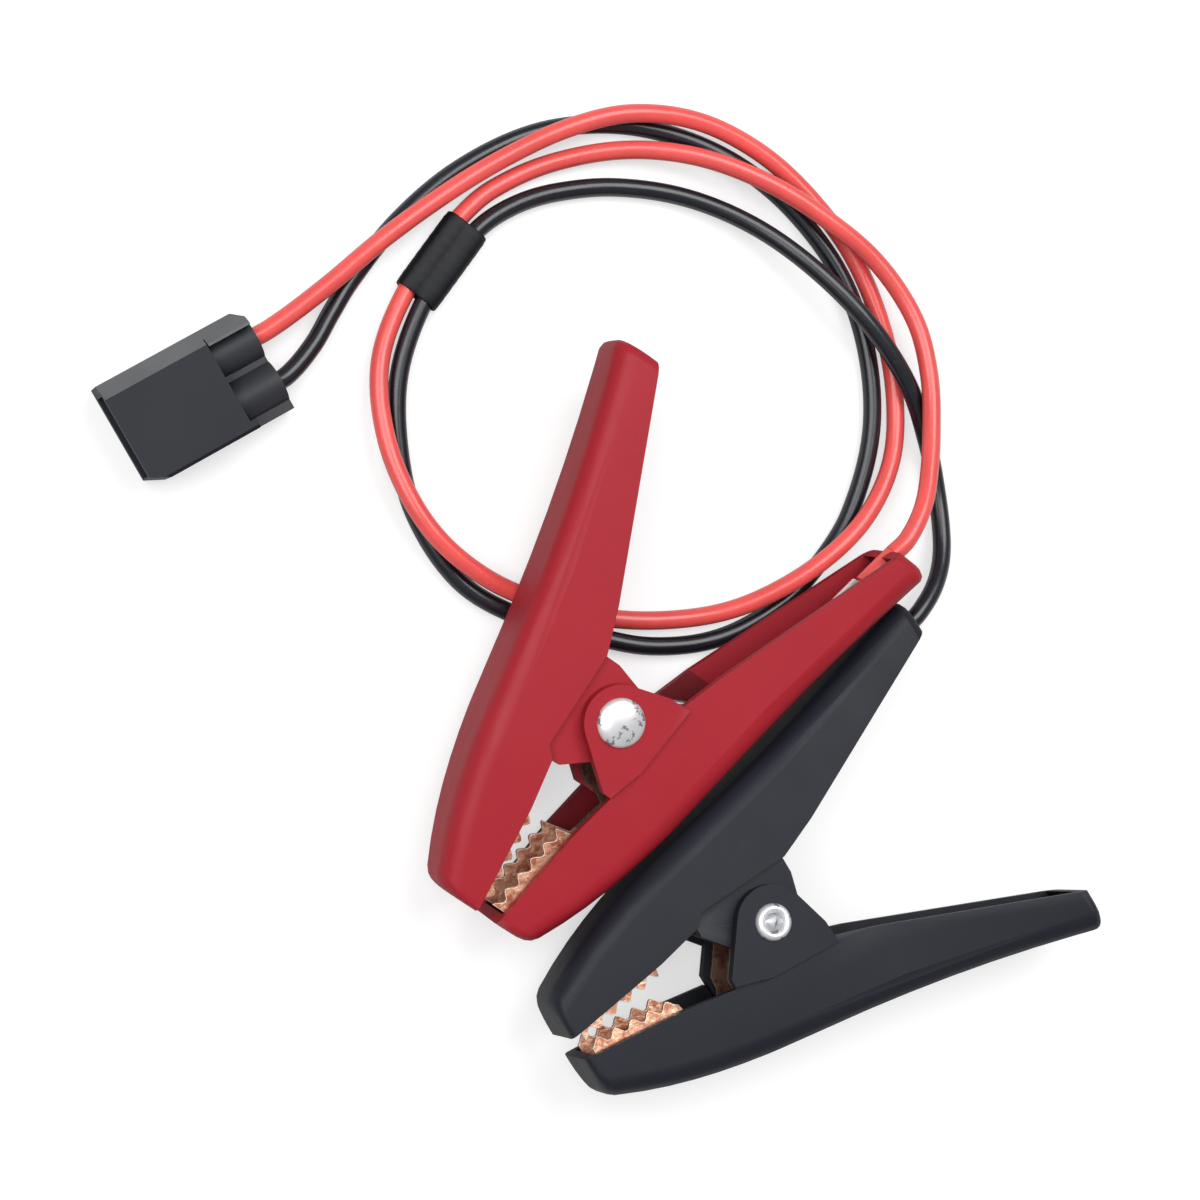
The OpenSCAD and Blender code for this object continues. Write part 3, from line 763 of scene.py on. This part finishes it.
@dataclass
class Sleeve:
    """Shrunk sleeve round the two leads where they run side by side."""

    lie: Lie = field(default_factory=lambda: Lie(SLEEVE_PLACE, SLEEVE_TURN))
    length: float = 17.0
    lead_diameter: float = LEAD_DIAMETER
    wall: float = 0.8
    half_gap: float = SLEEVE_HALF_GAP
    rows: int = 26
    drawn_in: float = 2.2
    flatness: float = 1.6
    waist: float = 0.16
    rim: float = 0.2

    def outline(self, bm: bmesh.types.BMesh, extra: float) -> list[bmesh.types.BMVert]:
        """Adds the waisted outline round both leads, square to X.

        Args:
            bm: the shape to add to.
            extra: distance of the outline from the leads' surface.

        Returns:
            The outline's vertices.
        """
        made = bmesh.ops.create_circle(
            bm, cap_ends=False, radius=1.0, segments=48,
            matrix=Matrix.Rotation(math.radians(90), 4, "Y"),
        )
        radius = self.lead_diameter / 2 + extra
        for vert in made["verts"]:
            angle = math.atan2(vert.co.z, vert.co.y)
            side = self.half_gap * max(-1.0, min(1.0, self.flatness * math.cos(angle)))
            waist = 1.0 - self.waist * (1.0 - abs(side) / self.half_gap) ** 2
            vert.co = (0.0, side + radius * math.cos(angle), radius * waist * math.sin(angle))
        return made["verts"]

    def build(self) -> bpy.types.Object:
        """Makes the sleeve with its drawn-in ends and faint rings.

        Returns:
            The sleeve's object.
        """
        bm = bmesh.new()
        self.outline(bm, self.wall)
        bmesh.ops.translate(bm, verts=bm.verts, vec=(-self.length / 2, 0, 0))
        edges = list(bm.edges)
        for _ in range(self.rows):
            made = bmesh.ops.extrude_edge_only(bm, edges=edges)["geom"]
            edges = [item for item in made if isinstance(item, bmesh.types.BMEdge)]
            verts = [item for item in made if isinstance(item, bmesh.types.BMVert)]
            bmesh.ops.translate(bm, verts=verts, vec=(self.length / self.rows, 0, 0))
        for vert in bm.verts:
            near_end = 1.0 - min(1.0, (self.length / 2 - abs(vert.co.x)) / self.drawn_in)
            ripple = 0.012 * math.sin(vert.co.x * 2.9) + 0.01 * math.sin(vert.co.x * 5.3 + 1.0)
            vert.co.z *= 1.0 - 0.07 * near_end ** 2 + ripple * (1.0 - near_end)
            vert.co.y *= 1.0 - 0.03 * near_end ** 2 + ripple * 0.4
        piece = add_piece("shrunk_sleeve", bm, Finish.SLEEVE, self.lie.matrix(), crease=60.0)
        wall = piece.modifiers.new("wall", "SOLIDIFY")
        wall.thickness = (self.wall - 0.15) * MM
        wall.offset = -1.0
        rim = piece.modifiers.new("rim", "BEVEL")
        rim.width = self.rim * MM
        rim.segments = 3
        rim.limit_method = "ANGLE"
        rim.angle_limit = math.radians(50)
        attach(piece, "lead_set")
        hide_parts("cable_sleeve")
        return piece


@dataclass
class Plug:
    """Flat two-pole plug with a bevelled key edge and two barrels for the leads."""

    lie: Lie = field(default_factory=lambda: Lie((*PLUG_PLACE, 0.0), PLUG_TURN))
    body_length: float = 22.0
    key_edge: float = 7.0
    # strength of the painted highlight on the key strip and on the barrels
    key_highlight: float = 1.0
    barrel_highlight: float = 0.22

    def build(self) -> list[bpy.types.Object]:
        """Makes the housing and its two contacts.

        Returns:
            The housing and the contacts.
        """
        housing = softened("plug_housing", "plug_shell", Finish.PLUG_PLASTIC, 0.35, 3)
        self.mark_highlights(housing)
        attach(housing, "lead_set")
        pieces = [housing]
        for side in ("red", "black"):
            blade = softened(f"plug_contact_{side}", f"plug_blade_{side}", Finish.NICKEL, 0.15)
            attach(blade, "lead_set")
            pieces.append(blade)
        return pieces

    def mark_highlights(self, housing: bpy.types.Object) -> None:
        """Marks each face's painted highlight: the key strip most, then the barrels.

        Args:
            housing: the plug's housing.
        """
        back = self.lie.matrix().inverted()
        marks = housing.data.attributes.new(PAINTED_HIGHLIGHT, "FLOAT", "FACE")
        # the key strip and the barrels' upper faces get a painted highlight
        for face, mark in zip(housing.data.polygons, marks.data):
            place = back @ face.center
            if place.y > self.key_edge and face.normal.z > 0.3:
                mark.value = self.key_highlight
            elif place.x > self.body_length - 1.0 and face.normal.z > 0.05:
                mark.value = self.barrel_highlight


# ---- Clamps -----------------------------------------------------------------------------


@dataclass
class Clamp:
    """One insulated spring clamp in its own frame: +X to the handles, +Y to the free half."""

    colour: str
    lie: Lie
    plastic: Finish
    silicone: Finish
    outer_ear_outer: float = 11.4
    rivet_diameter: float = 5.0
    dome_diameter: float = 9.2
    dome_height: float = 1.7
    roll_diameter: float = 7.0
    rivet_bore: float = 3.4
    bore_depth: float = 3.0
    head_edge: float = 0.25
    roll_height: float = 1.25
    drill_tip: float = 1.2
    wire: float = 1.6
    coil_radius: float = 4.3
    coil_pitch: float = 2.1
    leg_angle: float = 66.0
    coil_turns: int = 2
    leg_length: float = 28.15
    leg_shares: Point = (0.04, 0.3, 0.66)
    # where the painted shade on the channels starts, and over how many millimetres it deepens
    coil_step: float = 11.25
    pivot_shade_start: float = -24.0
    pivot_shade_span: float = 5.0

    def named(self, name: str) -> str:
        """Returns the name of one of this clamp's pieces."""
        return f"{self.colour}_{name}"

    def ride(self, piece: bpy.types.Object, body: str) -> bpy.types.Object:
        """Puts a piece on a body.

        Args:
            piece: the piece.
            body: the body that it moves with.

        Returns:
            The same piece.
        """
        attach(piece, body)
        return piece

    def build(self) -> None:
        """Makes all the pieces of the clamp."""
        self.shells()
        self.contacts()
        self.rivet()
        self.bush()
        self.spring()
        self.lead_end()

    def shells(self) -> None:
        """Makes the two moulded halves."""
        for half, body in (("lead", "lead_set"), ("free", f"{self.colour}_free_half")):
            piece = softened(
                self.named(f"{half}_shell"), self.named(f"{half}_half"), self.plastic, 0.4, 3
            )
            # the halves carry painted shade in their recesses
            bake_hollow_shade(piece)
            self.ride(piece, body)

    def contacts(self) -> None:
        """Makes the toothed channels and their small rivets."""
        for half, body in (("lead", "lead_set"), ("free", f"{self.colour}_free_half")):
            self.ride(self.jaw(half), body)
            rivets = softened(
                self.named(f"{half}_contact_rivets"), self.named(f"{half}_jaw_rivets"),
                Finish.NICKEL, 0.25,
            )
            self.ride(rivets, body)

    def jaw(self, half: str, rim: float = 0.22) -> bpy.types.Object:
        """Makes one toothed channel with a painted highlight on its bevelled rims and painted
        shade towards the pivot.

        Args:
            half: the half that it belongs to, "lead" or "free".
            rim: width of the bevelled rim that carries the painted highlight, in millimetres.

        Returns:
            The channel.
        """
        bm = merged(self.named(f"{half}_contact"))
        rim_lit = bm.faces.layers.float.new(PAINTED_HIGHLIGHT)
        pivot_shade = bm.faces.layers.float.new(PIVOT_SHADE)
        sharp = [edge for edge in bm.edges if edge.calc_face_angle(0.0) > math.radians(SHARP)]
        rims = bmesh.ops.bevel(
            bm, geom=sharp, offset=rim * MM, offset_type="OFFSET", segments=2, profile=0.5,
            affect="EDGES", clamp_overlap=True,
        )["faces"]
        # the bevel's faces get the painted highlight
        for face in rims:
            face[rim_lit] = 1.0
        along = self.lie.matrix().to_3x3() @ Vector((1.0, 0.0, 0.0))
        for step in (0.2, 0.5, 0.8, 1.4):
            x = self.pivot_shade_start + step * self.pivot_shade_span
            bmesh.ops.bisect_plane(
                bm, geom=bm.verts[:] + bm.edges[:] + bm.faces[:],
                plane_co=self.lie.point(x, 0.0, 0.0), plane_no=along, dist=0.00001 * MM,
            )
        back = self.lie.matrix().inverted()
        # faces nearer the pivot get more painted shade
        for face in bm.faces:
            place = (back @ face.calc_center_median()).x
            face[pivot_shade] = max(0.0, min(1.0, (place - self.pivot_shade_start) / self.pivot_shade_span))
        piece = add_piece(self.named(f"{half}_jaw"), bm, Finish.COPPER)
        even_out(piece)
        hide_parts(self.named(f"{half}_contact"))
        return piece

    def rivet(self) -> None:
        """Makes the pivot rivet: a domed head, a shank and a rolled end."""
        top = self.outer_ear_outer
        dome_rise = self.dome_height - self.head_edge
        head = [
            (x * self.dome_diameter / 2, top + self.head_edge + y * dome_rise)
            for x, y in arc((0.0, 0.0), 1.0, 0.0, 90.0, 10)
        ]
        middle = (self.roll_diameter + self.rivet_bore) / 4
        half = (self.roll_diameter - self.rivet_bore) / 4
        low = -top - 0.05
        floor = -top + self.bore_depth
        roll = [
            (x, low - self.roll_height * y) for x, y in arc((middle, 0.0), half, 0.0, 180.0, 12)
        ]
        profile = (
            [(0.0, head[-1][1])] + head[::-1][1:] + [(self.dome_diameter / 2, top + 0.02)]
            + [(self.rivet_diameter / 2, top), (self.rivet_diameter / 2, -top)]
            + [(middle + half, low)] + roll[1:-1]
            + [(self.rivet_bore / 2, -top), (self.rivet_bore / 2, floor)]
            + [(0.2, floor + self.drill_tip), (0.0, floor + self.drill_tip)]
        )
        bm = spun(profile, 64)
        piece = add_piece(
            self.named("rivet"), bm, Finish.RIVET, self.lie.matrix(), crease=50.0
        )
        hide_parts(self.named("pivot_rivet"))
        self.ride(piece, "lead_set")

    def bush(self) -> None:
        """Makes the bush inside the spring."""
        piece = softened(
            self.named("spacer_bush"), self.named("bush"), Finish.NICKEL, 0.2
        )
        self.ride(piece, "lead_set")

    def spring(self) -> None:
        """Makes the torsion spring: a screw-spun coil whose ends run on as legs."""
        start = 90.0 - self.leg_angle
        end = self.leg_angle - 90.0 + 360.0 * (self.coil_turns + 1)
        rise = self.coil_pitch * (end - start) / 360.0
        steps = round((end - start) / self.coil_step)
        bm = bmesh.new()
        ring = bmesh.ops.create_circle(
            bm, cap_ends=False, radius=self.wire / 2, segments=16,
            matrix=Matrix.Rotation(math.radians(start), 4, "Z")
            @ Matrix.Translation((self.coil_radius, 0, -rise / 2))
            @ Matrix.Rotation(math.radians(90), 4, "X"),
        )["verts"]
        first = list(bm.edges)
        spin = bmesh.ops.spin(
            bm, geom=list(ring) + first, cent=(0, 0, 0), axis=(0, 0, 1),
            dvec=(0, 0, rise / steps), angle=math.radians(end - start), steps=steps,
            use_merge=False, use_duplicate=False,
        )
        last = [item for item in spin["geom_last"] if isinstance(item, bmesh.types.BMEdge)]
        for edges, angle, side in ((first, start, -1.0), (last, end, 1.0)):
            leg = Vector((math.cos(math.radians(self.leg_angle)),
                          side * math.sin(math.radians(self.leg_angle)), 0))
            for share in self.leg_shares:
                made = bmesh.ops.extrude_edge_only(bm, edges=edges)["geom"]
                edges = [item for item in made if isinstance(item, bmesh.types.BMEdge)]
                verts = [item for item in made if isinstance(item, bmesh.types.BMVert)]
                bmesh.ops.translate(bm, verts=verts, vec=leg * self.leg_length * share)
            bmesh.ops.holes_fill(bm, edges=edges, sides=32)
        piece = add_piece(
            self.named("spring"), bm, Finish.SPRING_STEEL, self.lie.matrix(), crease=50.0
        )
        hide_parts(self.named("torsion_spring"))
        tuple(self.lie.point(0, -4.0, 0))
        tuple(self.lie.point(0, 4.0, 0))
        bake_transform(piece)

    def lead_end(self) -> None:
        """Makes the crimped ferrule and the stripped end of the lead in the handle."""
        ferrule = softened(self.named("ferrule"), self.named("crimp"), Finish.NICKEL, 0.3, 3)
        self.ride(ferrule, "lead_set")
        tail = softened(self.named("lead_tail"), self.named("stripped_end"), self.silicone, 0.2)
        self.ride(tail, "lead_set")


# ---- Stage ------------------------------------------------------------------------------


@dataclass
class Studio:
    """Camera, pale floor and soft light."""

    target: Point = (-30.2, 21.9, 0.0)
    distance: float = 500.0
    tilt: float = 16.0
    lens: float = 78.0
    grey: float = 0.5
    glow: float = 0.57
    sheen: float = 0.1
    sky: float = 0.28

    def camera(self) -> None:
        """Makes the camera that looks down at the lead from its left."""
        data = bpy.data.cameras.new("camera")
        data.lens = self.lens
        data.sensor_width = 36.0
        data.sensor_fit = "HORIZONTAL"
        camera = bpy.data.objects.new("camera", data)
        bpy.context.scene.collection.objects.link(camera)
        lean = math.radians(self.tilt)
        back = Vector((-math.sin(lean), 0.0, math.cos(lean)))
        right = Vector((0.0, 1.0, 0.0)).cross(back)
        turned = Matrix((right, back.cross(right), back)).transposed().to_4x4()
        camera.matrix_world = (
            Matrix.Translation((Vector(self.target) + back * self.distance) * MM) @ turned
        )
        bpy.context.scene.camera = camera

    def floor(self) -> None:
        """Makes the pale floor, which keeps the shadow and reads white to the camera."""
        bm = bmesh.new()
        bmesh.ops.create_grid(bm, x_segments=1, y_segments=1, size=3.0)
        bmesh.ops.translate(bm, verts=bm.verts, vec=(0, 0, -0.0001))
        mesh = bpy.data.meshes.new("floor")
        bm.to_mesh(mesh)
        bm.free()
        s = Surface("white_floor")
        s.dress(Base_Color=(self.grey,) * 3, Roughness=0.75, Specular_IOR_Level=0.2)
        path = s.node("ShaderNodeLightPath")
        seen = Value(s, path.outputs["Is Camera Ray"])
        glossy = Value(s, path.outputs["Is Glossy Ray"])
        away = s.node("ShaderNodeVectorMath", {"operation": "LENGTH"}, {0: s.coords})
        far = Value(s, away.outputs["Value"]).ramp(0.4, 1.6)
        strength = seen * (self.glow + far * (1.0 - self.glow)) + glossy * self.sheen
        glow = s.node(
            "ShaderNodeEmission", None, {"Color": (1.0, 1.0, 1.0), "Strength": strength}
        )
        both = s.node("ShaderNodeAddShader", None, {0: s.shader.outputs[0], 1: glow.outputs[0]})
        s.tree.links.new(both.outputs[0], s.output.inputs["Surface"])
        mesh.materials.append(s.material)
        floor = bpy.data.objects.new("floor", mesh)
        bpy.context.scene.collection.objects.link(floor)

    def lamp(self, name: str, place: Point, size: float, power: float) -> None:
        """Adds a round soft lamp that faces the middle of the clamps.

        Args:
            name: the lamp's name.
            place: where it hangs, in metres.
            size: its width in metres.
            power: its power in watts.
        """
        data = bpy.data.lights.new(name, "AREA")
        data.energy = power
        data.shape = "DISK"
        data.size = size
        lamp = bpy.data.objects.new(name, data)
        lamp.location = place
        lamp.rotation_euler = (-Vector(place)).to_track_quat("-Z", "Y").to_euler()
        bpy.context.scene.collection.objects.link(lamp)

    def light(self) -> None:
        """Adds the lamps and the even white world."""
        self.lamp("key", (0.35, 0.55, 1.15), 0.9, 9.5)
        self.lamp("fill", (-0.62, 0.16, 1.1), 1.1, 10.5)
        world = bpy.data.worlds.new("studio")
        world.use_nodes = True
        world.node_tree.nodes["Background"].inputs["Color"].default_value = (1, 1, 1, 1)
        tree = world.node_tree
        seen = tree.nodes.new("ShaderNodeLightPath").outputs["Is Camera Ray"]
        strength = tree.nodes.new("ShaderNodeMapRange")
        strength.inputs["To Min"].default_value = self.sky
        strength.inputs["To Max"].default_value = 1.0
        tree.links.new(seen, strength.inputs["Value"])
        tree.links.new(strength.outputs["Result"], tree.nodes["Background"].inputs["Strength"])
        bpy.context.scene.world = world
        bpy.context.scene.view_settings.view_transform = "Standard"

    def build(self) -> None:
        """Makes the whole stage."""
        self.camera()
        self.floor()
        self.light()


RED_LIE = Lie((-33.1, -0.9, 14.1), 56.4, -2.8, 2.4)
BLACK_LIE = Lie((-3.5, -40.1, 14.2), 30.6, 2.6, 175.0)


def from_plug(x: float, y: float, z: float) -> Point:
    """Turns a point of the plug to where the plug lies.

    Args:
        x: distance behind the plug's mouth in millimetres.
        y: distance from its middle towards the key.
        z: height.

    Returns:
        The point as it lies, in millimetres.
    """
    turn = math.radians(PLUG_TURN)
    return (
        PLUG_PLACE[0] + x * math.cos(turn) - y * math.sin(turn),
        PLUG_PLACE[1] + x * math.sin(turn) + y * math.cos(turn),
        z,
    )


def from_sleeve(along: float, side: float) -> Point:
    """Places a point on one of the sleeve's two centre lines.

    Args:
        along: distance from the sleeve's middle in millimetres.
        side: 1 for the red lead's line, -1 for the black lead's.

    Returns:
        The point as it lies, in millimetres.
    """
    turn = math.radians(SLEEVE_TURN)
    return (
        SLEEVE_PLACE[0] + along * math.cos(turn) - SLEEVE_HALF_GAP * side * math.sin(turn),
        SLEEVE_PLACE[1] + along * math.sin(turn) + SLEEVE_HALF_GAP * side * math.cos(turn),
        SLEEVE_PLACE[2],
    )


def from_clamp(lie: Lie, back: float) -> Point:
    """Places a point on the line on which a lead leaves its handle.

    Args:
        lie: how the clamp lies.
        back: distance behind the handle in millimetres.

    Returns:
        The point as it lies, in millimetres.
    """
    angle = math.radians(EXIT_ANGLE)
    x, y = EXIT_PLACE
    place = lie.point(x + back * math.cos(angle), y + back * math.sin(angle), 0) / MM
    return (place.x + MIDDLE[0], place.y + MIDDLE[1], place.z)


RED_ROUTE = [
    from_plug(27, 4.5, 5.2), from_plug(34, 4.5, 5.2),
    (-84, 78.5, 5.4), (-73, 88, 5.8), (-61, 97, 5.5), (-50, 104, 5.5), (-38, 110, 6),
    (-25.5, 113.5, 5.9), (-11.5, 113, 4.5), (1.5, 108, 3), (12, 100, 2.2), (21.5, 88.5, 2),
    (28, 74, 1.8), (30.5, 61, 1.8), (29, 48, 3.5), (22.5, 36.5, 5.5), (12.5, 27.5, 6),
    (0, 20.5, 4.6), (-11, 17.5, 3), (-25.5, 17, 2), (-39, 19.5, 2.8), (-52.5, 24.5, 4.7),
    (-63.5, 33, 6.2), (-70.5, 44.5, 6), (-73.5, 56.5, 4.8), (-73, 67, 3.5),
    from_sleeve(-9, 1), from_sleeve(0, 1), from_sleeve(9, 1),
    (-51.5, 98.5, 2.4), (-40, 104, 2.1), (-25.5, 107, 3.2), (-11.5, 106, 5.2), (2, 101.5, 6.6),
    (14, 95, 6.6), (25, 87, 5.8), (33, 76, 5.9), (35.5, 65, 7.3), (35, 53.5, 9.6),
    (33, 43.5, 12.6), (30.8, 37.8, 14.5),
    from_clamp(RED_LIE, 4), from_clamp(RED_LIE, 0),
]

BLACK_ROUTE = [
    from_plug(27, -4.5, 5.2), from_plug(32, -4.5, 5.2),
    (-86, 68, 3.8), (-82.5, 74, 2.6), (-78.5, 80.5, 1.8), (-69.5, 92, 1.8), (-58, 102, 2),
    (-43.5, 109.5, 2), (-29, 112, 1.8), (-15.5, 110.5, 1.8), (-2.5, 105.5, 1.8), (9, 97, 2),
    (19, 84.5, 2), (24.5, 70, 1.8), (25.5, 54, 1.8), (21, 38, 1.8), (14.5, 28, 1.8),
    (6.5, 20, 1.8), (-6, 13.5, 1.8), (-20, 11.9, 1.8), (-33.5, 14.4, 1.8), (-47, 18, 1.8),
    (-58, 24.5, 1.8), (-66.5, 37, 2), (-69.5, 49.5, 2.1), (-69.5, 63, 2.4),
    from_sleeve(-9, -1), from_sleeve(0, -1), from_sleeve(9, -1),
    (-47.5, 95.5, 2.2), (-39, 98.5, 1.8), (-27, 100, 1.8), (-13, 98.5, 2.3), (0, 93.5, 3.9),
    (11.5, 85.5, 6.2), (22.5, 75, 7.4), (31.5, 63.5, 5.8), (37, 52, 2.8), (39.5, 42, 1.8),
    (40, 33.5, 3), (39, 28, 4.8), (36.5, 23, 7),
    from_clamp(BLACK_LIE, 4), from_clamp(BLACK_LIE, 0),
]


def main() -> None:
    """Builds the stage, the leads with their sleeve and plug, and the two clamps."""
    logging.basicConfig(level=logging.INFO, format="%(name)s %(message)s")
    Studio().build()
    leads = [
        Lead("red", Finish.RED_SILICONE, RED_ROUTE),
        Lead("black", Finish.BLACK_SILICONE, BLACK_ROUTE),
    ]
    runs = [lead.build() for lead in leads]
    sleeve = Sleeve().build()
    plug = Plug().build()
    for lead, run in zip(leads, runs):
        tuple(to_frame(lead.route[-1]))
        round(lead.length(), 4)
        lead.diameter * MM
    for clamp in (
        Clamp("red", RED_LIE, Finish.RED_PLASTIC, Finish.RED_SILICONE),
        Clamp("black", BLACK_LIE, Finish.BLACK_PLASTIC, Finish.BLACK_SILICONE),
    ):
        clamp.build()


if __name__ == "__main__":
    main()
